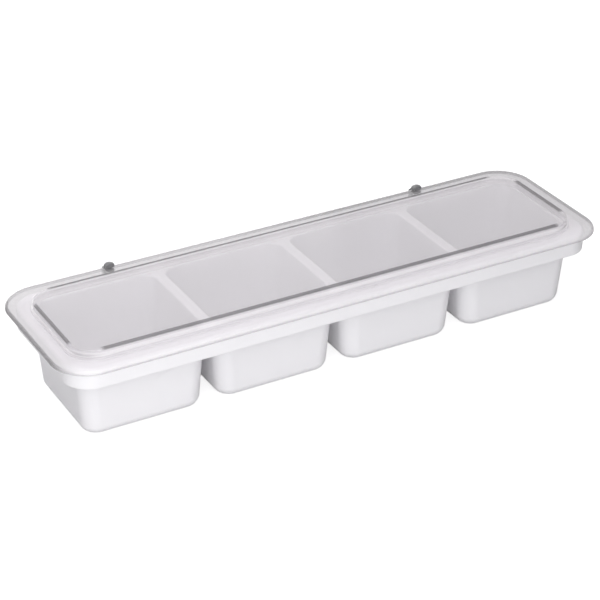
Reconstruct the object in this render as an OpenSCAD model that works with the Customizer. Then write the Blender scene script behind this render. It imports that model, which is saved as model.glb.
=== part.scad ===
// Condiment caddy: a one-piece moulded tray with a row of drafted wells under one clear
// lid. The lid flips up at the back on two small hinges. Each hinge is a clip gripped on
// the lid's edge, a bracket riveted to the tray's skirt, and a steel pin through both.
// Millimetres. +X runs along the caddy, +Y to the hinges, +Z up. The wells stand on z = 0.

/* [Wells] */
// Number of wells in the row
well_count = 4; // [3:1:6]
// Length of one well over its outside, at the top
well_l = 107.9; // [90:0.1:130]
// Width of one well over its outside, at the top
well_w = 102.9; // [85:0.1:130]
// Length of one well over its outside, at the floor
floor_l = 98.1; // [80:0.1:106]
// Width of one well over its outside, at the floor
floor_w = 94.4; // [75:0.1:102]
// Gap between two wells at the top
well_gap = 4.7; // [2:0.1:12]
// Radius of a well's upright corners
corner_r = 13.5; // [10:0.5:22]
// Radius from a well's wall into its floor
floor_r = 8.5; // [4:0.1:9]
// Rounding of a well's mouth
mouth_r = 1.6; // [0.5:0.1:2]
// Wall thickness of the tray
wall = 2.2; // [1.6:0.1:3]

/* [Rim] */
// Height of the tray from the surface to the top of its rim
tray_h = 71; // [50:1:100]
// Land from a well's outside to the end of the rim
end_land = 10.3; // [9:0.1:20]
// Land from a well's outside to the front and back of the rim
side_land = 12.8; // [9:0.1:20]
// Height of the skirt that hangs from the rim
skirt_h = 17.4; // [14:0.1:26]
// Radius of the rim's corners
rim_r = 22.6; // [16:0.1:30]
// Rounding of the rim's top edge
rim_edge_r = 2.6; // [1:0.1:4]

/* [Lid] */
// Distance that the lid reaches past the rim all round
overhang = 8.4; // [5:0.1:12]
// Thickness of the lid
lid_t = 2.2; // [1.6:0.1:3]
// Outside radius of the lid's rolled edge
lid_edge_r = 2.6; // [2.2:0.1:4]
// Straight height of the lid's lip below its rolled edge
lip_h = 0.2; // [0.1:0.1:1.5]
// Width of the lid's flat border at the front and back of the raised panel
side_border = 19.9; // [15:0.1:26]
// Width of the lid's flat border at each end of the raised panel
end_border = 18; // [15:0.1:26]
// Height of the raised panel above the border
panel_rise = 5.6; // [3:0.1:8]
// Radius of the raised panel's corners
panel_r = 22; // [10:0.5:30]
// Rounding of the raised panel's top edge
panel_edge_r = 1; // [0.4:0.1:2]

/* [Hinges] */
// Distance from each end of the lid to the middle of its hinge
hinge_inset = 97.7; // [40:0.1:120]
// Diameter of the hinge pin
pin_d = 2; // [1.6:0.1:2.6]
// Distance from the lid's back edge to the pin's axis
pin_back = 2.5; // [2.4:0.1:4]
// Distance of the pin's axis below the lid's lip
pin_drop = 0.6; // [0:0.1:1]
// Radius of the clip's knuckle
knuckle_r = 2.6; // [2:0.1:2.8]
// Width of the clip's knuckle
knuckle_w = 3.4; // [3:0.1:8]
// Width of each bracket ear
ear_w = 1.6; // [1.4:0.1:4]
// Radius of each bracket ear
ear_r = 2; // [1.7:0.1:2.1]
// Radius of the clip at its middle
clip_r = 6.4; // [5.6:0.1:6.8]
// Radius of the clip at its ends
clip_end_r = 5.2; // [4:0.1:5.3]
// Distance that the clip reaches in over the lid, from the middle of the rolled edge
clip_grip = 2.2; // [2:0.1:5]
// Distance that the clip hangs below the lid's lip
clip_hang = 0.8; // [0.6:0.1:1.6]
// Width of the bracket's plate
plate_w = 27; // [25:0.5:40]
// Height of the bracket's plate
plate_h = 10; // [8:0.5:12]
// Thickness of the bracket's plate
plate_t = 1.8; // [1.2:0.1:2.5]
// Depth of the bracket's arms under the ears
arm_depth = 3; // [2:0.1:5]
// Height between the lid's lip and the bracket's arms
arm_gap = 2.8; // [2.4:0.1:3.6]
// Diameter of the rivets
rivet_d = 3; // [2:0.1:3.4]
// Diameter of the rivets' heads
rivet_head_d = 5.4; // [4.5:0.1:6]

/* [Fits] */
// Radial clearance of the pin in its bores
pin_play = 0.05; // [0.02:0.01:0.1]
// Clearance between the knuckle and each ear
side_play = 0.3; // [0.2:0.05:0.6]
// Clearance between the clip and the lid's edge
clip_play = 0.1; // [0.05:0.05:0.2]
// Clearance between the clip and the ears as the lid turns
swing_play = 0.4; // [0.3:0.05:0.5]

/* [Hidden] */
$fn = 64;

white = [0.93, 0.92, 0.94];
clear = [0.82, 0.84, 0.86, 0.4];
graphite = [0.16, 0.16, 0.17];
steel = [0.7, 0.71, 0.73];

// How finely a well's corners and floor edge are stepped
corner_steps = 8;
arc_steps = 6;
// Overlap that carries a cut cleanly past a face
past = 1;

well_pitch = well_l + well_gap;
rim_l = well_pitch * (well_count - 1) + well_l + 2 * end_land;
rim_w = well_w + 2 * side_land;
lid_l = rim_l + 2 * overhang;
lid_w = rim_w + 2 * overhang;
lid_r = rim_r + overhang;
panel_l = lid_l - 2 * end_border;
panel_w = lid_w - 2 * side_border;
border_top = tray_h + lid_t;
panel_top = border_top + panel_rise;

// Middle of the lid's rolled edge, seen along the hinge axis
curl_y = lid_w / 2 - lid_edge_r;
curl_z = border_top - lid_edge_r;
lip_z = curl_z - lip_h;
hinge_x = lid_l / 2 - hinge_inset;
pin_y = lid_w / 2 + pin_back;
pin_z = lip_z - pin_drop;
ear_x = knuckle_w / 2 + side_play;
hinge_w = 2 * (ear_x + ear_w);
ear_front = pin_y - ear_r;
arm_top = lip_z - arm_gap;
arm_bottom = arm_top - arm_depth;
plate_z = arm_top - plate_h / 2;
plate_back = rim_w / 2 + plate_t;
rivet_x = plate_w / 2 - plate_h / 2;
rivet_head_h = 1.4;
rivet_tail_h = 1;

// The origin is under the middle of the whole caddy, hinges included
frame_y = -(pin_y + knuckle_r - lid_w / 2) / 2;

module in_frame() {
    translate([0, frame_y, 0]) children();
}

// ---- Shared forms ----

module rounded_rect(l, w, r) {
    square([l - 2 * r, w], center = true);
    square([l, w - 2 * r], center = true);
    for (sx = [-1, 1], sy = [-1, 1])
        translate([sx * (l / 2 - r), sy * (w / 2 - r)]) circle(r);
}

// Carries an upright profile round a rounded rectangle. The profile's x is measured
// outward from the corner's centre, so x = r is the outline, and its y is the height.
module sweep_round(l, w, r) {
    for (k = [0 : 3]) {
        run = k % 2 == 0 ? w : l;
        out = k % 2 == 0 ? l : w;
        rotate(90 * k) translate([out / 2 - r, run / 2 - r, 0]) {
            rotate([90, 0, 0]) linear_extrude(run - 2 * r) children();
            rotate_extrude(angle = 90) children();
        }
    }
}

// A rounded slab whose top edge is rounded too
module edged_slab(l, w, r, bottom, top, edge) {
    translate([0, 0, bottom])
        linear_extrude(top - bottom) rounded_rect(l - 2 * edge, w - 2 * edge, r - edge);
    if (edge > 0) sweep_round(l, w, r) translate([r - edge, 0]) {
        translate([0, bottom]) square([edge, top - edge - bottom]);
        intersection() {
            translate([0, top - edge]) circle(edge);
            translate([0, top - edge]) square(edge);
        }
    }
}

// One level of a well: the points of a rounded rectangle at height z
function level(l, w, r, z) = [
    for (k = [0 : 3], i = [0 : corner_steps])
        let (sx = k == 0 || k == 3 ? 1 : -1,
             sy = k < 2 ? 1 : -1,
             a = 90 * (k + i / corner_steps))
        [sx * (l / 2 - r) + r * cos(a), sy * (w / 2 - r) + r * sin(a), z]
];

// A closed solid through levels that are listed from the bottom up
module loft(levels) {
    n = len(levels[0]);
    top = len(levels) - 1;
    polyhedron(
        points = [for (ring = levels) each ring],
        faces = concat(
            [[for (i = [0 : n - 1]) i]],
            [for (k = [0 : top - 1], i = [0 : n - 1])
                let (j = (i + 1) % n)
                [k * n + i, (k + 1) * n + i, (k + 1) * n + j, k * n + j]],
            [[for (i = [n - 1 : -1 : 0]) top * n + i]]),
        convexity = 4);
}

// A well drawn in from its outside by the amount skin, so 0 gives the outside itself
function well_level(z, skin, inset) =
    let (t = z / tray_h,
         draw = 2 * (skin + inset))
    level(floor_l + (well_l - floor_l) * t - draw,
          floor_w + (well_w - floor_w) * t - draw,
          corner_r - skin - inset, z);

function floor_arc(skin) =
    let (r = floor_r - skin)
    [for (i = [0 : arc_steps])
        let (a = 90 * i / arc_steps)
        well_level(skin + r * (1 - cos(a)), skin, r * (1 - sin(a)))];

function mouth_arc() =
    [for (i = [0 : arc_steps])
        let (a = 90 * i / arc_steps)
        well_level(tray_h - mouth_r * (1 - sin(a)), wall, -mouth_r * (1 - cos(a)))];

module well_outside() {
    loft(concat(floor_arc(0), [well_level(tray_h - wall / 2, 0, 0)]));
}

module well_inside() {
    above = [for (p = well_level(tray_h, wall, -mouth_r)) [p[0], p[1], tray_h + past]];
    loft(concat(floor_arc(wall), mouth_arc(), [above]));
}

module each_well() {
    for (i = [0 : well_count - 1])
        translate([(i - (well_count - 1) / 2) * well_pitch, 0, 0]) children();
}

// Puts a child at the places of one hinge's two rivets, with +Z pointing out of the back
module at_rivets(side) {
    for (s = [-1, 1])
        translate([side * hinge_x + s * rivet_x, rim_w / 2, plate_z])
            rotate([-90, 0, 0]) children();
}

// Extrudes a side profile, drawn in Y and Z, by the width w about the middle x
module across(x, w) {
    translate([x - w / 2, 0, 0]) rotate([90, 0, 90]) linear_extrude(w) children();
}

module along_x(x, y, z, length, r) {
    translate([x - length / 2, y, z]) rotate([0, 90, 0]) cylinder(h = length, r = r);
}

// ---- Tray ----

module rim() {
    difference() {
        edged_slab(rim_l, rim_w, rim_r, tray_h - skirt_h, tray_h, rim_edge_r);
        edged_slab(rim_l - 2 * wall, rim_w - 2 * wall, rim_r - wall,
                   tray_h - skirt_h - past, tray_h - wall, max(rim_edge_r - wall, 0));
    }
}

module tray() {
    color(white) in_frame() difference() {
        union() {
            rim();
            each_well() well_outside();
        }
        each_well() well_inside();
        for (side = [-1, 1])
            at_rivets(side)
                translate([0, 0, -wall - past]) cylinder(h = wall + 2 * past, d = rivet_d);
    }
}

// ---- Lid ----

module lid() {
    color(clear) in_frame() difference() {
        union() {
            edged_slab(lid_l, lid_w, lid_r, lip_z, border_top, lid_edge_r);
            edged_slab(panel_l, panel_w, panel_r, tray_h, panel_top, panel_edge_r);
        }
        edged_slab(lid_l - 2 * lid_t, lid_w - 2 * lid_t, lid_r - lid_t,
                   lip_z - past, tray_h, max(lid_edge_r - lid_t, 0));
        edged_slab(panel_l - 2 * lid_t, panel_w - 2 * lid_t, panel_r - lid_t,
                   tray_h - past, panel_top - lid_t, max(panel_edge_r - lid_t, 0));
    }
}

// ---- Hinges ----

// Side profile of the lid's edge with the clip's clearance round it
module lid_edge_profile() {
    grown = lid_edge_r + clip_play;
    intersection() {
        translate([curl_y, curl_z]) circle(grown);
        translate([curl_y, curl_z]) square(grown);
    }
    translate([curl_y, lip_z - clip_play]) square([grown, lip_h + clip_play]);
    translate([curl_y - side_border, tray_h - clip_play])
        square([side_border + clip_play, lid_t + 2 * clip_play]);
}

// Side view of the clip's outside, from its grip on the lid back to y = back
module clip_side(back) {
    translate([curl_y - clip_grip, lip_z - clip_hang])
        square([back - curl_y + clip_grip, curl_z + clip_r + past - lip_z + clip_hang]);
}

module hinge_clip(side) {
    x = side * hinge_x;
    bulge = clip_r - clip_end_r;
    crown = ((hinge_w / 2) * (hinge_w / 2) + bulge * bulge) / (2 * bulge);
    difference() {
        union() {
            // Barrel-shaped grip, turned about the lid's rolled edge
            intersection() {
                translate([x, curl_y, curl_z]) rotate([0, 90, 0]) rotate_extrude()
                    intersection() {
                        translate([clip_r - crown, 0]) circle(crown);
                        translate([0, -hinge_w / 2]) square([clip_r, hinge_w]);
                    }
                union() {
                    across(x, hinge_w) clip_side(ear_front - swing_play);
                    across(x, knuckle_w) clip_side(curl_y + clip_r);
                }
            }
            along_x(x, pin_y, pin_z, knuckle_w, knuckle_r);
        }
        along_x(x, pin_y, pin_z, knuckle_w + 2 * past, pin_d / 2 + pin_play);
        across(x, hinge_w + 2 * past) lid_edge_profile();
    }
}

// Side view of one bracket ear with the arm that carries it back to the plate
module ear_side() {
    translate([pin_y, pin_z]) circle(ear_r);
    translate([ear_front, arm_bottom]) square([2 * ear_r, pin_z - arm_bottom]);
    polygon([[rim_w / 2, arm_top], [rim_w / 2, arm_top - plate_h],
             [plate_back, arm_top - plate_h], [pin_y + ear_r, arm_bottom],
             [pin_y + ear_r, arm_top]]);
}

module hinge_bracket(side) {
    x = side * hinge_x;
    difference() {
        union() {
            // Plate against the skirt, with round ends
            translate([x, plate_back, plate_z]) rotate([90, 0, 0]) linear_extrude(plate_t) {
                square([2 * rivet_x, plate_h], center = true);
                for (s = [-1, 1]) translate([s * rivet_x, 0]) circle(d = plate_h);
            }
            for (s = [-1, 1])
                across(x + s * (ear_x + ear_w / 2), ear_w) ear_side();
        }
        along_x(x, pin_y, pin_z, hinge_w + 2 * past, pin_d / 2 + pin_play);
        at_rivets(side)
            translate([0, 0, -past]) cylinder(h = plate_t + 2 * past, d = rivet_d);
    }
}

module hinge_pin(side) {
    color(steel) in_frame() along_x(side * hinge_x, pin_y, pin_z, hinge_w, pin_d / 2);
}

module rivet() {
    translate([0, 0, -wall]) cylinder(h = wall + plate_t, d = rivet_d);
    translate([0, 0, -wall - rivet_tail_h]) cylinder(h = rivet_tail_h, d = rivet_head_d);
    dome = (rivet_head_d * rivet_head_d / 4 + rivet_head_h * rivet_head_h) / (2 * rivet_head_h);
    translate([0, 0, plate_t]) rotate_extrude() intersection() {
        translate([0, rivet_head_h - dome]) circle(dome);
        square([rivet_head_d / 2, rivet_head_h]);
    }
}

module hinge_clip_left() { color(graphite) in_frame() hinge_clip(-1); }
module hinge_clip_right() { color(graphite) in_frame() hinge_clip(1); }
module hinge_bracket_left() { color(graphite) in_frame() hinge_bracket(-1); }
module hinge_bracket_right() { color(graphite) in_frame() hinge_bracket(1); }
module hinge_pin_left() { hinge_pin(-1); }
module hinge_pin_right() { hinge_pin(1); }
module bracket_rivets() {
    color(steel) in_frame() for (side = [-1, 1]) at_rivets(side) rivet();
}

tray();
lid();
hinge_clip_left();
hinge_clip_right();
hinge_bracket_left();
hinge_bracket_right();
hinge_pin_left();
hinge_pin_right();
bracket_rivets();
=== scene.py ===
# %% [markdown]
# # Dressing a condiment caddy
#
# A condiment caddy is a long moulded tray with a row of wells, kept shut by one clear lid
# that flips up at the back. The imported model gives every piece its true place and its
# joint. This notebook gives the tray and the lid finely rounded meshes, gives every piece
# the finish of the real thing, and sets a plain studio round it.

import math

import bmesh
import bpy
from mathutils import Euler, Matrix, Vector


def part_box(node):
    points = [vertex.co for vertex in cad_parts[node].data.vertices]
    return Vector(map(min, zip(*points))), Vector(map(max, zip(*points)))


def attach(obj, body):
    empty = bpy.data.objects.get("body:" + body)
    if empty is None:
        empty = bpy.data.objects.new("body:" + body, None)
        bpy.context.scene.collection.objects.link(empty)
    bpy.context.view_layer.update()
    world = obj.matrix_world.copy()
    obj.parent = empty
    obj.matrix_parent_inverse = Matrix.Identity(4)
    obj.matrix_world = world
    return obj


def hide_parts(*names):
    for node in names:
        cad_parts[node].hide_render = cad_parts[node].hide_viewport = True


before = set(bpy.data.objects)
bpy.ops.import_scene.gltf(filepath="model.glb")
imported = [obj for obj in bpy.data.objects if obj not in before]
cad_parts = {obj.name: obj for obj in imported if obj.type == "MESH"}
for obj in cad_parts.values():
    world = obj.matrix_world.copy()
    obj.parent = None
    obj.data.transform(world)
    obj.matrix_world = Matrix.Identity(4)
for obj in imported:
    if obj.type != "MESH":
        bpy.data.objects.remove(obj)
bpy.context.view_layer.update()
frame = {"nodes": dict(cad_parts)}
print("nodes:", ", ".join(frame["nodes"]))

# %% [markdown]
# ## The sizes
#
# Blender works in metres and the caddy was drawn in millimetres, so each size is written
# in millimetres and multiplied by MM. The tray stands on z = 0 with its length along X.
# Its middle lies a little in front of y = 0, because the hinges stand out at the back.

# %% Sizes of the tray and the lid
MM = 0.001

WELL_COUNT = 4
WELL_PITCH = 112.6 * MM
WELL_TOP = Vector((107.9, 102.9)) * MM
WELL_FLOOR = Vector((98.1, 94.4)) * MM
CORNER_R = 13.5 * MM
FLOOR_R = 8.5 * MM
MOUTH_R = 1.6 * MM
WALL = 2.2 * MM

TRAY_H = 71 * MM
RIM = Vector((466.3, 128.5)) * MM
RIM_R = 22.6 * MM
RIM_EDGE_R = 2.6 * MM
SKIRT_H = 17.4 * MM

LID = Vector((483.1, 145.3)) * MM
LID_R = 31 * MM
LID_T = 2.2 * MM
LID_EDGE_R = 2.6 * MM
LIP_Z = 70.4 * MM
BORDER_TOP = TRAY_H + LID_T
PANEL = Vector((447.1, 105.5)) * MM
PANEL_R = 22 * MM
PANEL_TOP = 78.8 * MM
PANEL_EDGE_R = 1 * MM
PANEL_FOOT_R = 0.6 * MM
SKIRT_EDGE_R = 0.5 * MM

# How many faces each rounding is made of
WELL_STEPS = 14
FLOOR_STEPS = 9
SMALL_STEPS = 4
CORNER_STEPS = 18
LID_CORNER_STEPS = 20
EDGE_STEPS = 6
FINE_STEPS = 2

tray_low, tray_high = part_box("tray")
MIDDLE_Y = (tray_low[1] + tray_high[1]) / 2
print("middle of the tray at y =", round(MIDDLE_Y / MM, 2), "mm")

# %% [markdown]
# ## Working as by hand
#
# Each new piece starts as a cube, and is then shaped in edit mode. These helpers do what a
# modeller's hand does: make one piece the active one, pick edges by their place, round
# them, and cut one block with another. Everything is deselected first, because an
# operator acts on all that is selected.

# %% Choose a piece and pick its edges
NEAR = 0.01 * MM


def choose(piece):
    bpy.ops.object.select_all(action="DESELECT")
    piece.select_set(True)
    bpy.context.view_layer.objects.active = piece


def start_editing(piece):
    choose(piece)
    bpy.ops.object.mode_set(mode="EDIT")
    bpy.ops.mesh.select_mode(type="EDGE")
    bpy.ops.mesh.select_all(action="DESELECT")


def pick_edges(piece, wanted):
    """Selects each edge for which wanted(edge) is true, and returns how many there are."""
    mesh = bmesh.from_edit_mesh(piece.data)
    picked = [edge for edge in mesh.edges if wanted(edge)]
    for edge in picked:
        edge.select_set(True)
    bmesh.update_edit_mesh(piece.data)
    return len(picked)


def level_at(z):
    return lambda edge: all(abs(v.co.z - z) < NEAR for v in edge.verts)


def upright(edge):
    a, b = edge.verts
    return abs(a.co.z - b.co.z) > 0.5 * edge.calc_length()


# %% Add a block and round its edges
def add_block(name, size, low, high):
    bpy.ops.object.select_all(action="DESELECT")
    bpy.ops.mesh.primitive_cube_add(
        size=1,
        location=(0, MIDDLE_Y, (low + high) / 2),
        scale=(size.x, size.y, high - low),
    )
    piece = bpy.context.object
    piece.name = name
    bpy.ops.object.transform_apply(location=True, rotation=True, scale=True)
    return piece


def round_edges(piece, wanted, radius, steps):
    start_editing(piece)
    count = pick_edges(piece, wanted)
    bpy.ops.mesh.bevel(
        offset_type="OFFSET",
        offset=radius,
        segments=steps,
        profile=0.5,
        affect="EDGES",
        clamp_overlap=False,
    )
    bpy.ops.object.mode_set(mode="OBJECT")
    return count


def combine(piece, tool, operation):
    """Joins the tool to the piece, or cuts it away, and removes the tool."""
    choose(piece)
    bpy.ops.object.modifier_add(type="BOOLEAN")
    modifier = piece.modifiers[-1]
    modifier.operation = operation
    modifier.solver = "EXACT"
    modifier.object = tool
    bpy.ops.object.modifier_apply(modifier=modifier.name)
    bpy.data.objects.remove(tool)


# %% Finish a piece: merge doubles, smooth its shading and say what it is
SHARP = math.radians(35)
DOUBLE = 0.002 * MM


def finish_piece(piece):
    choose(piece)
    bpy.ops.object.mode_set(mode="EDIT")
    bpy.ops.mesh.select_all(action="SELECT")
    bpy.ops.mesh.remove_doubles(threshold=DOUBLE)
    bpy.ops.mesh.normals_make_consistent(inside=False)
    bpy.ops.object.mode_set(mode="OBJECT")
    bpy.ops.object.shade_smooth_by_angle(angle=SHARP)
    bpy.ops.object.modifier_add(type="WEIGHTED_NORMAL")
    piece.modifiers[-1].keep_sharp = True
    piece.modifiers[-1].weight = 100
    bpy.ops.object.modifier_apply(modifier=piece.modifiers[-1].name)
    mesh = bmesh.new()
    mesh.from_mesh(piece.data)
    open_edges = sum(not edge.is_manifold for edge in mesh.edges)
    size = [round(d / MM, 1) for d in piece.dimensions]
    print(piece.name, "faces", len(mesh.faces), "open edges", open_edges, "size", size, "mm")
    mesh.free()


# %% [markdown]
# ## The tray
#
# The real tray is injection moulded in one shot: a flat rim with a skirt, and four wells
# whose walls lean in so that the part leaves the mould. A sheet thickened by Solidify
# would do, but its thickness strays in the corners. Here the outside and the hollow are
# modelled as two blocks each and cut, which is also how the mould itself is made.

# %% A block for one well, narrower at its floor
def add_well(name, skin, top):
    """A well drawn in by skin all round, up to the height top."""
    rise = (top - skin) / TRAY_H
    foot = skin / TRAY_H
    grow = WELL_TOP - WELL_FLOOR
    in_by = Vector((2 * skin, 2 * skin))
    upper = WELL_FLOOR + grow * (rise + foot) - in_by
    lower = WELL_FLOOR + grow * foot - in_by
    well = add_block(name, upper, skin, top)

    start_editing(well)
    pick_edges(well, level_at(skin))
    bpy.ops.transform.resize(
        value=(lower.x / upper.x, lower.y / upper.y, 1),
        center_override=(0, MIDDLE_Y, skin),
    )
    bpy.ops.object.mode_set(mode="OBJECT")

    round_edges(well, upright, CORNER_R - skin, WELL_STEPS)
    round_edges(well, level_at(skin), FLOOR_R - skin, FLOOR_STEPS)
    return well


# %% Copy the well along the row and join the copies
def add_row(name, skin, top):
    first = add_well(name, skin, top)
    wells = [first]
    for _ in range(WELL_COUNT - 1):
        choose(first)
        bpy.ops.object.duplicate()
        wells.append(bpy.context.object)
    for index, well in enumerate(wells):
        choose(well)
        step = index - (WELL_COUNT - 1) / 2
        bpy.ops.transform.translate(value=(step * WELL_PITCH, 0, 0))
        bpy.ops.object.transform_apply(location=True, rotation=True, scale=True)
    bpy.ops.object.select_all(action="DESELECT")
    for well in wells:
        well.select_set(True)
    bpy.context.view_layer.objects.active = first
    bpy.ops.object.join()
    return first


# %% The rim with its skirt
PAST = 1 * MM

tray = add_block("tray_moulding", RIM, TRAY_H - SKIRT_H, TRAY_H)
round_edges(tray, upright, RIM_R, CORNER_STEPS)
round_edges(tray, level_at(TRAY_H), RIM_EDGE_R, EDGE_STEPS)
round_edges(tray, level_at(TRAY_H - SKIRT_H), SKIRT_EDGE_R, FINE_STEPS)

inside = RIM - Vector((2 * WALL, 2 * WALL))
under = add_block("under", inside, TRAY_H - SKIRT_H - PAST, TRAY_H - WALL)
round_edges(under, upright, RIM_R - WALL, CORNER_STEPS)
round_edges(under, level_at(TRAY_H - WALL), RIM_EDGE_R - WALL, FINE_STEPS)
combine(tray, under, "DIFFERENCE")
print("rim with its skirt:", len(tray.data.polygons), "faces")

# %% Join the wells, then hollow them
combine(tray, add_row("wells_outside", 0, TRAY_H - WALL / 2), "UNION")
combine(tray, add_row("wells_inside", WALL, TRAY_H + PAST), "DIFFERENCE")
print("tray with its wells:", len(tray.data.polygons), "faces")


# %% Round the mouths of the wells, where the wall turns over into the rim
def mouth(edge):
    if not level_at(TRAY_H)(edge) or len(edge.link_faces) != 2:
        return False
    if abs(edge.verts[0].co.y - MIDDLE_Y) > WELL_TOP.y / 2:
        return False
    tilts = sorted(abs(face.normal.z) for face in edge.link_faces)
    return tilts[0] < 0.5 and tilts[1] > 0.9


count = round_edges(tray, mouth, MOUTH_R, SMALL_STEPS)
print("edges round the mouths:", count)
finish_piece(tray)
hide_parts("tray")
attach(tray, "tray_body")

# %% [markdown]
# ## The lid
#
# The lid is one clear moulding: a flat border whose edge rolls down over the tray's rim,
# and a raised panel that stiffens it. It is made as the tray is, from an outer shape and
# the space under it, so that its sheet is as thick as the real one everywhere.

# %% The outside of the lid
lid = add_block("lid_moulding", LID, LIP_Z, BORDER_TOP)
round_edges(lid, upright, LID_R, LID_CORNER_STEPS)
round_edges(lid, level_at(BORDER_TOP), LID_EDGE_R, EDGE_STEPS)

panel = add_block("panel", PANEL, TRAY_H + LID_T / 2, PANEL_TOP)
round_edges(panel, upright, PANEL_R, CORNER_STEPS)
round_edges(panel, level_at(PANEL_TOP), PANEL_EDGE_R, SMALL_STEPS)
combine(lid, panel, "UNION")


# %% A soft inside corner where the panel rises from the border
def panel_foot(edge):
    if not level_at(BORDER_TOP)(edge) or len(edge.link_faces) != 2:
        return False
    if abs(edge.verts[0].co.x) > PANEL.x / 2 + NEAR:
        return False
    tilts = sorted(abs(face.normal.z) for face in edge.link_faces)
    return tilts[0] < 0.5 and tilts[1] > 0.9


FOOT_STEPS = 3
count = round_edges(lid, panel_foot, PANEL_FOOT_R, FOOT_STEPS)
print("edges round the panel's foot:", count)

# %% The space under the lid
sheet = Vector((2 * LID_T, 2 * LID_T))
AIR = 0.05 * MM
hollow = add_block("hollow", LID - sheet, LIP_Z - PAST, TRAY_H + AIR)
round_edges(hollow, upright, LID_R - LID_T, LID_CORNER_STEPS)
round_edges(hollow, level_at(TRAY_H + AIR), LID_EDGE_R - LID_T, FINE_STEPS)
combine(lid, hollow, "DIFFERENCE")

recess = add_block("recess", PANEL - sheet, LIP_Z - PAST, PANEL_TOP - LID_T)
round_edges(recess, upright, PANEL_R - LID_T, CORNER_STEPS)
combine(lid, recess, "DIFFERENCE")
finish_piece(lid)
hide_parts("lid")
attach(lid, "lid_body")

# %% [markdown]
# ## Building a material
#
# Every finish is a small node tree. A pattern reads Object coordinates, so it stays on
# the piece as the lid swings, and its scale is a real one because the coordinates are
# metres. This helper starts a tree, adds nodes with their settings and links them.

# %% Helpers for node trees
class Finish:
    """A material whose nodes are added one by one."""

    def __init__(self, name):
        self.material = bpy.data.materials.new(name)
        self.material.use_nodes = True
        self.tree = self.material.node_tree
        self.tree.nodes.clear()
        self.output = self.add("ShaderNodeOutputMaterial")

    def add(self, kind, **values):
        node = self.tree.nodes.new(kind)
        for key, value in values.items():
            if key in node.inputs:
                node.inputs[key].default_value = value
            else:
                setattr(node, key, value)
        return node

    def link(self, out_socket, in_socket):
        self.tree.links.new(out_socket, in_socket)

    def place(self):
        return self.add("ShaderNodeTexCoord").outputs["Object"]

    def maths(self, operation, *values):
        node = self.add("ShaderNodeMath", operation=operation)
        for socket, value in zip(node.inputs, values):
            if isinstance(value, (int, float)):
                socket.default_value = value
            else:
                self.link(value, socket)
        return node.outputs[0]

    def noise(self, scale, detail=2.0):
        node = self.add("ShaderNodeTexNoise", Scale=scale, Detail=detail)
        self.link(self.place(), node.inputs["Vector"])
        return node.outputs["Fac"]

    def between(self, value, low, high, start=0.0, end=1.0):
        """Goes from low to high as the value goes from start to end."""
        node = self.add("ShaderNodeMapRange")
        node.inputs["From Min"].default_value = start
        node.inputs["From Max"].default_value = end
        node.inputs["To Min"].default_value = low
        node.inputs["To Max"].default_value = high
        self.link(value, node.inputs["Value"])
        return node.outputs["Result"]

    def bump(self, value, strength, height):
        node = self.add("ShaderNodeBump", Strength=strength, Distance=height)
        self.link(value, node.inputs["Height"])
        return node.outputs["Normal"]

    def mix(self, share, first, second):
        """Mixes two shaders, with this share of the second."""
        node = self.add("ShaderNodeMixShader")
        if isinstance(share, (int, float)):
            node.inputs[0].default_value = share
        else:
            self.link(share, node.inputs[0])
        self.link(first, node.inputs[1])
        self.link(second, node.inputs[2])
        return node.outputs[0]

    def blend_colours(self, value, first, second):
        node = self.add("ShaderNodeMix", data_type="RGBA")
        colour_inputs = [s for s in node.inputs if s.type == "RGBA"]
        colour_inputs[0].default_value = (*first, 1)
        colour_inputs[1].default_value = (*second, 1)
        self.link(value, node.inputs["Factor"])
        return next(s for s in node.outputs if s.type == "RGBA")


def wear(piece, finish):
    """Gives a piece its finish, in place of what it had."""
    piece.data.materials.clear()
    piece.data.materials.append(finish.material)


def dress(node_name, finish):
    """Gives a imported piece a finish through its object's material slots."""
    piece = frame["nodes"][node_name]
    for slot in piece.material_slots:
        slot.material = finish.material


# %% [markdown]
# ## The tray's white plastic
#
# White plastic lets a little light in below its surface, which softens its shadows. Its
# colour and its gloss vary slightly and slowly over the piece, and a very fine bump
# breaks up the highlights.

# %% White moulded plastic
PLASTIC_IOR = 1.49
BELOW_SURFACE = 0.4


def white_plastic():
    finish = Finish("white_plastic_satin")
    shader = finish.add("ShaderNodeBsdfPrincipled", IOR=PLASTIC_IOR)
    shader.inputs["Subsurface Weight"].default_value = BELOW_SURFACE
    shader.inputs["Subsurface Radius"].default_value = (1, 1, 1)
    shader.inputs["Subsurface Scale"].default_value = 4 * MM
    cloud = finish.noise(14)
    finish.link(
        finish.blend_colours(cloud, (0.855, 0.845, 0.87), (0.885, 0.878, 0.9)),
        shader.inputs["Base Color"],
    )
    finish.link(finish.between(finish.noise(30, 4), 0.3, 0.44), shader.inputs["Roughness"])
    finish.link(finish.bump(finish.noise(700, 3), 0.06, 0.05 * MM), shader.inputs["Normal"])
    finish.link(shader.outputs["BSDF"], finish.output.inputs["Surface"])
    return finish


wear(tray, white_plastic())
print("tray wears", tray.data.materials[0].name)

# %% [markdown]
# ## The lid's clear plastic
#
# Glass that bends light would be the obvious shader, but lamps can't shine through it
# into the wells, and the picture turns noisy. The sheet is thin, so it hardly bends what
# is behind it. Here each surface lets light straight through with a faint tint, and
# mirrors more of its surroundings the flatter it is seen, by the usual fifth-power rule.

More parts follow.
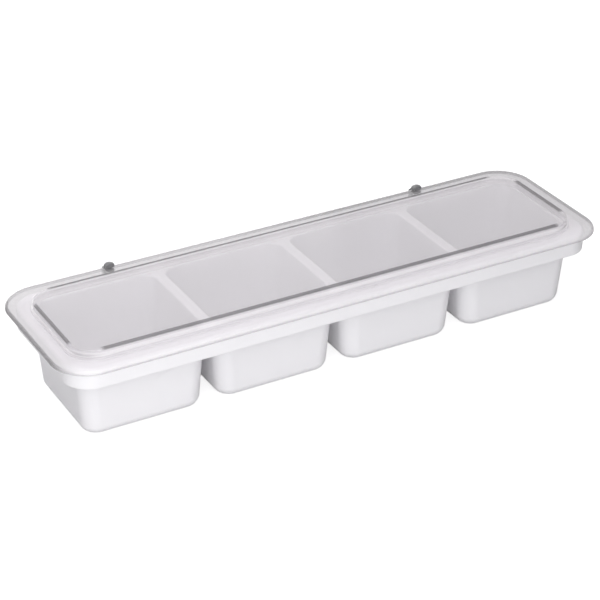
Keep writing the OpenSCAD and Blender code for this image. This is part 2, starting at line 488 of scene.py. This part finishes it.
# %% How far a point lies outside a rounded outline
def outline(finish, size, radius):
    """The distance outside a rounded oblong round the tray's middle, below 0 inside it,
    then how far round a corner the point is, and its own x, y and z."""
    split = finish.add("ShaderNodeSeparateXYZ")
    finish.link(finish.place(), split.inputs[0])
    x = split.outputs["X"]
    y = finish.maths("SUBTRACT", split.outputs["Y"], MIDDLE_Y)
    past = [
        finish.maths("SUBTRACT", finish.maths("ABSOLUTE", value), half - radius)
        for value, half in ((x, size.x / 2), (y, size.y / 2))
    ]
    beyond = [finish.maths("MAXIMUM", value, 0) for value in past]
    squares = [finish.maths("MULTIPLY", value, value) for value in beyond]
    reach = finish.maths("SQRT", finish.maths("ADD", *squares))
    depth = finish.maths("MINIMUM", finish.maths("MAXIMUM", *past), 0)
    distance = finish.maths("SUBTRACT", finish.maths("ADD", reach, depth), radius)
    return distance, finish.maths("MINIMUM", *beyond), x, y, split.outputs["Z"]


# %% Painted dark lines where the panel's wall is seen edge-on
PAINTED_LINE_WIDTH = 2.9 * MM
LONG_EXTRA = 0.9 * MM
RIGHT_EXTRA = 2.2 * MM
LINE_SOFT = 0.8 * MM
LINE_STARTS = 1.3 * MM
LINE_FULL = 0.7 * MM
PAINTED_LINE_LEFT, PAINTED_LINE_RIGHT = 0.67, 0.72
PAINTED_FOOT_SHARE = 0.3


def painted_panel_lines(finish):
    """Where dark lines are painted, standing in for the shade of the wall seen edge-on: the
    top of the raised panel's wall along its straight stretches, widest at the right end, and
    a fainter line along the wall's foot round each corner."""
    distance, corner, x, y, z = outline(finish, PANEL, PANEL_R)
    half = PANEL / 2
    sideways = finish.maths("ABSOLUTE", y)
    wider = finish.between(
        sideways, PAINTED_LINE_WIDTH, PAINTED_LINE_WIDTH + LONG_EXTRA, half.y - PANEL_R, half.y - 6 * MM
    )
    widest = finish.between(x, 0, RIGHT_EXTRA, half.x - PANEL_R, half.x - 8 * MM)
    inwards = finish.maths("ADD", distance, finish.maths("ADD", wider, widest))
    strip = finish.between(inwards, 0, 1, 0, LINE_SOFT)
    high = finish.between(z, 0, 1, PANEL_TOP - LINE_STARTS, PANEL_TOP - LINE_FULL)
    straight = finish.between(corner, 1, 0, 0, 4 * MM)
    share = finish.between(x, PAINTED_LINE_LEFT, PAINTED_LINE_RIGHT, -half.x, half.x)
    # The painted dark line along the top of the wall
    painted_top_line = finish.maths("MULTIPLY", strip, high)
    painted_top_line = finish.maths("MULTIPLY", painted_top_line, finish.maths("MULTIPLY", straight, share))
    # The fainter painted line of shade along the wall's foot round each corner
    outside = finish.between(distance, 0, 1, -0.5 * MM, -0.3 * MM)
    low = finish.between(z, PAINTED_FOOT_SHARE, 0, BORDER_TOP + MM, BORDER_TOP + 2.8 * MM)
    above = finish.maths("GREATER_THAN", z, BORDER_TOP + 0.05 * MM)
    turning = finish.between(corner, 0, 1, 0, 12 * MM)
    foot = finish.maths("MULTIPLY", finish.maths("MULTIPLY", outside, low), turning)
    return finish.maths("MAXIMUM", painted_top_line, finish.maths("MULTIPLY", foot, above))


# %% Painted shade along the lid's rolled lip
PAINTED_LIP_SHARE = 0.45
PAINTED_BACK_LESS = 0.22
PAINTED_FRONT_SHARE = 0.2


def painted_lip_shade(finish):
    """Painted shade on the rolled lip: dark away from the front, less so along the back's
    left part, slightly more so along its right part, and in front only low down, where it is
    a painted shadow line under the lip."""
    distance, _, x, y, z = outline(finish, LID, LID_R)
    strip = finish.between(distance, 0, 1, -LID_T - 0.5 * MM, -LID_T + 0.5 * MM)
    front = -LID.y / 2
    away = finish.between(y, 0, PAINTED_LIP_SHARE, front + 6 * MM, front + 30 * MM)
    back = finish.between(y, 0, PAINTED_BACK_LESS, -front - 12 * MM, -front - 3 * MM)
    back = finish.maths("MULTIPLY", back, finish.between(x, 1, -0.3, -40 * MM, 60 * MM))
    low = finish.between(z, PAINTED_FRONT_SHARE, 0, LIP_Z + 0.2 * MM, LIP_Z + 2.4 * MM)
    away = finish.maths("SUBTRACT", away, back)
    # The painted shade of the lip, strongest where it is seen edge-on at the ends and back
    return finish.maths("MULTIPLY", strip, finish.maths("MAXIMUM", away, low))


# %% Clear grey plastic
THIN_HAZE, PAINTED_WALL_HAZE = 0.2, 0.45
HAZE_FOR_LAMPS = 0.25
MIRRORED_HEAD_ON = 0.04


def clear_plastic():
    """See-through, with a thin haze that lets most of the lamps' light through and is denser
    at the panel's wall, where it paints a lighter band; clearer over the rim at the front
    and back, which paints the border there lighter; and with the painted dark edge lines."""
    finish = Finish("clear_plastic_grey")
    distance, _, _, y, z = outline(finish, PANEL, PANEL_R)
    # Clearer over the rim at the front and back than over the panel: painted light on the
    # border there and painted shade on the panel
    painted_light_over_rim = finish.between(
        finish.maths("ABSOLUTE", y), 0, 1, PANEL.y / 2 - 3 * MM, PANEL.y / 2 + 2 * MM
    )
    see_through = finish.mix(
        painted_light_over_rim,
        finish.add("ShaderNodeBsdfTransparent", Color=(0.96, 0.952, 0.958, 1)).outputs[0],
        finish.add("ShaderNodeBsdfTransparent", Color=(0.985, 0.98, 0.985, 1)).outputs[0],
    )
    haze = finish.add("ShaderNodeBsdfPrincipled", IOR=PLASTIC_IOR, Roughness=0.35)
    haze.inputs["Base Color"].default_value = (0.87, 0.855, 0.87, 1)
    gloss = finish.add("ShaderNodeBsdfGlossy")
    gloss.inputs["Color"].default_value = (1, 1, 1, 1)
    finish.link(finish.between(finish.noise(60, 3), 0.05, 0.12), gloss.inputs["Roughness"])
    # A near-black shader, mixed in where the dark lines and the lip's shade are painted
    painted_dark = finish.add("ShaderNodeBsdfPrincipled", IOR=PLASTIC_IOR, Roughness=0.3)
    painted_dark.inputs["Base Color"].default_value = (0.05, 0.045, 0.05, 1)

    # Denser haze along the panel's wall: a painted lighter band there
    from_wall = finish.maths("ABSOLUTE", finish.maths("ADD", distance, LID_T / 2))
    at_wall = finish.between(from_wall, 1, 0, 1.8 * MM, 3.5 * MM)
    recess_top = PANEL_TOP - LID_T
    under_top = finish.between(z, 1, 0, recess_top - 0.6 * MM, recess_top - 0.2 * MM)
    painted_band_beside_wall = finish.maths("MULTIPLY", at_wall, under_top)
    cloud = finish.between(painted_band_beside_wall, THIN_HAZE, PAINTED_WALL_HAZE)
    lamp_light = finish.add("ShaderNodeLightPath").outputs["Is Shadow Ray"]
    cloud = finish.maths("MULTIPLY", cloud, finish.between(lamp_light, 1, HAZE_FOR_LAMPS))
    sheet = finish.mix(cloud, see_through, haze.outputs[0])
    flatness = finish.add("ShaderNodeLayerWeight", Blend=0.5).outputs["Facing"]
    mirrored = finish.between(finish.maths("POWER", flatness, 5), MIRRORED_HEAD_ON, 1)
    sheet = finish.mix(mirrored, sheet, gloss.outputs[0])
    # The painted dark lines of the panel and the painted shade of the lip
    edges = finish.maths("MAXIMUM", painted_panel_lines(finish), painted_lip_shade(finish))
    finish.link(finish.mix(edges, sheet, painted_dark.outputs[0]), finish.output.inputs["Surface"])
    return finish


wear(lid, clear_plastic())
print("lid wears", lid.data.materials[0].name)

# %% [markdown]
# ## The hinges
#
# The clips and brackets are dark satin plastic with a fine grain. The pins and rivets are
# plain steel.

# %% Dark hinge plastic and plain steel
def dark_plastic():
    finish = Finish("dark_plastic_satin")
    shader = finish.add("ShaderNodeBsdfPrincipled", IOR=PLASTIC_IOR)
    finish.link(
        finish.blend_colours(finish.noise(90), (0.16, 0.16, 0.165), (0.2, 0.2, 0.205)),
        shader.inputs["Base Color"],
    )
    finish.link(finish.between(finish.noise(400, 3), 0.36, 0.5), shader.inputs["Roughness"])
    finish.link(finish.bump(finish.noise(1500, 2), 0.15, 0.04 * MM), shader.inputs["Normal"])
    finish.link(shader.outputs["BSDF"], finish.output.inputs["Surface"])
    return finish


def plain_steel():
    finish = Finish("plain_steel")
    shader = finish.add("ShaderNodeBsdfPrincipled", Metallic=1.0)
    finish.link(
        finish.blend_colours(finish.noise(600), (0.56, 0.56, 0.58), (0.66, 0.66, 0.67)),
        shader.inputs["Base Color"],
    )
    finish.link(finish.between(finish.noise(900, 4), 0.22, 0.36), shader.inputs["Roughness"])
    finish.link(shader.outputs["BSDF"], finish.output.inputs["Surface"])
    return finish


dark = dark_plastic()
steel = plain_steel()
for side in ("left", "right"):
    dress("hinge_clip_" + side, dark)
    dress("hinge_bracket_" + side, dark)
    dress("hinge_pin_" + side, steel)
dress("bracket_rivets", steel)
print("hinges wear", dark.material.name, "and", steel.material.name)

# %% [markdown]
# ## The studio
#
# The floor and the surroundings are white. What a ray is, straight, mirrored or seen
# through the lid, decides which white the floor gives it, so that the tray can keep its
# soft shading on a plain white ground.

# %% White floor
FLOOR_GLOW = 1.6
bpy.ops.object.select_all(action="DESELECT")
bpy.ops.mesh.primitive_plane_add(size=12, location=(0, 0, 0))
floor = bpy.context.object
floor.name = "floor"


def floor_finish():
    """Half white paint and half glow where it is seen straight, which keeps the deep part
    of the shadow. White paint where it is mirrored, grey paint where it is seen through
    the lid, and darker for the light that it throws back, which keeps the wells'
    undersides dark."""
    finish = Finish("floor_white")
    path = finish.add("ShaderNodeLightPath")
    seen_paint = finish.add("ShaderNodeBsdfDiffuse", Color=(0.7, 0.69, 0.7, 1))
    mirrored_paint = finish.add("ShaderNodeBsdfDiffuse", Color=(0.95, 0.95, 0.95, 1))
    thrown = finish.add("ShaderNodeBsdfDiffuse", Color=(0.4, 0.4, 0.4, 1))
    glow = finish.add("ShaderNodeEmission", Strength=FLOOR_GLOW)
    bounced = path.outputs["Is Diffuse Ray"]
    plain = finish.mix(bounced, seen_paint.outputs[0], thrown.outputs[0])
    plain = finish.mix(path.outputs["Is Glossy Ray"], plain, mirrored_paint.outputs[0])
    lit = finish.mix(0.5, mirrored_paint.outputs[0], glow.outputs[0])
    clear_view = finish.between(path.outputs["Transparent Depth"], 1, 0)
    seen = finish.maths("MULTIPLY", path.outputs["Is Camera Ray"], clear_view)
    finish.link(finish.mix(seen, plain, lit), finish.output.inputs["Surface"])
    return finish


wear(floor, floor_finish())
print("floor wears", floor.data.materials[0].name)

# %% [markdown]
# ## The surroundings
#
# Rays that are seen, mirrored or let through find white all round. The light that falls
# on the pieces from the surroundings is a weak, slightly violet one, and the lamps do the
# rest.

# %% White surroundings
world = bpy.data.worlds.new("studio")
bpy.context.scene.world = world
world.use_nodes = True
nodes, links = world.node_tree.nodes, world.node_tree.links
nodes.clear()
ray = nodes.new("ShaderNodeLightPath")
straight = nodes.new("ShaderNodeMath")
straight.operation = "MAXIMUM"
links.new(ray.outputs["Is Camera Ray"], straight.inputs[0])
links.new(ray.outputs["Is Transmission Ray"], straight.inputs[1])
mirrored = nodes.new("ShaderNodeMath")
mirrored.operation = "MAXIMUM"
links.new(straight.outputs[0], mirrored.inputs[0])
links.new(ray.outputs["Is Glossy Ray"], mirrored.inputs[1])
AMBIENT = 0.2
soft = nodes.new("ShaderNodeBackground")
soft.inputs["Color"].default_value = (0.97, 0.94, 1, 1)
soft.inputs["Strength"].default_value = AMBIENT
white = nodes.new("ShaderNodeBackground")
white.inputs["Color"].default_value = (1, 1, 1, 1)
white.inputs["Strength"].default_value = 1
sky = nodes.new("ShaderNodeMixShader")
links.new(mirrored.outputs[0], sky.inputs[0])
links.new(soft.outputs[0], sky.inputs[1])
links.new(white.outputs[0], sky.inputs[2])
out = nodes.new("ShaderNodeOutputWorld")
links.new(sky.outputs[0], out.inputs["Surface"])
print("light from the surroundings:", AMBIENT)

# %% [markdown]
# ## The lamps
#
# A clear lid mirrors every lamp. So the lamps are large, and thus weak for their size, or
# they are low strips that the lid mirrors only when it is seen almost level. Even so, much
# of the lid still looks white when it is seen straight from behind.

# %% Soft lamps
def add_lamp(name, place, aim, width, watts, height=None):
    """A round lamp, or an oblong one if it is given a height."""
    bpy.ops.object.light_add(type="AREA", location=place)
    lamp = bpy.context.object
    lamp.name = name
    lamp.data.shape = "RECTANGLE" if height else "DISK"
    lamp.data.size = width
    if height:
        lamp.data.size_y = height
    lamp.data.energy = watts
    direction = Vector(aim) - Vector(place)
    lamp.rotation_euler = direction.to_track_quat("-Z", "Y").to_euler()
    return lamp


add_lamp("front_lamp", (-0.52, -1.0, 0.16), (-0.1, 0, 0.06), 1.3, 5.2, height=0.3)
add_lamp("key_lamp", (-0.5, -0.95, 0.8), (-0.1, 0, 0.05), 2.0, 12.4)
add_lamp("top_lamp", (-0.2, 0.2, 1.3), (-0.05, 0, 0.05), 1.7, 8.7)
add_lamp("left_lamp", (-1.0, 0, 0.7), (-0.15, 0, 0.05), 1.1, 0.7)
add_lamp("back_lamp", (0.05, 1.25, 0.7), (0, 0, 0.05), 1.35, 1.1)
add_lamp("low_back_lamp", (0.1, 1.1, 0.16), (0, 0, 0.06), 1.3, 3.4, height=0.3)

# %% [markdown]
# ## The camera
#
# It looks down on the caddy from the front left. Its lens is given by the focal length in
# pixels, and its direction by three angles in degrees.

# %% The camera
LOOKS_DOWN = 29.535
TURNED = -29.133
ROLLED = 0.1
SENSOR = 36
FRAME_PIXELS = 600
FOCAL_PIXELS = 1940.7
bpy.ops.object.camera_add(location=(-0.67112, -1.18989, 0.81078))
camera = bpy.context.object
turn = Euler((math.radians(90 - LOOKS_DOWN), 0, math.radians(TURNED))).to_matrix()
turn = turn @ Matrix.Rotation(math.radians(ROLLED), 3, "Z")
camera.rotation_euler = turn.to_euler()
camera.data.sensor_width = SENSOR
camera.data.lens = FOCAL_PIXELS / FRAME_PIXELS * SENSOR
bpy.context.scene.camera = camera
bpy.context.scene.view_settings.view_transform = "Standard"
print("lens:", round(camera.data.lens, 2), "mm")
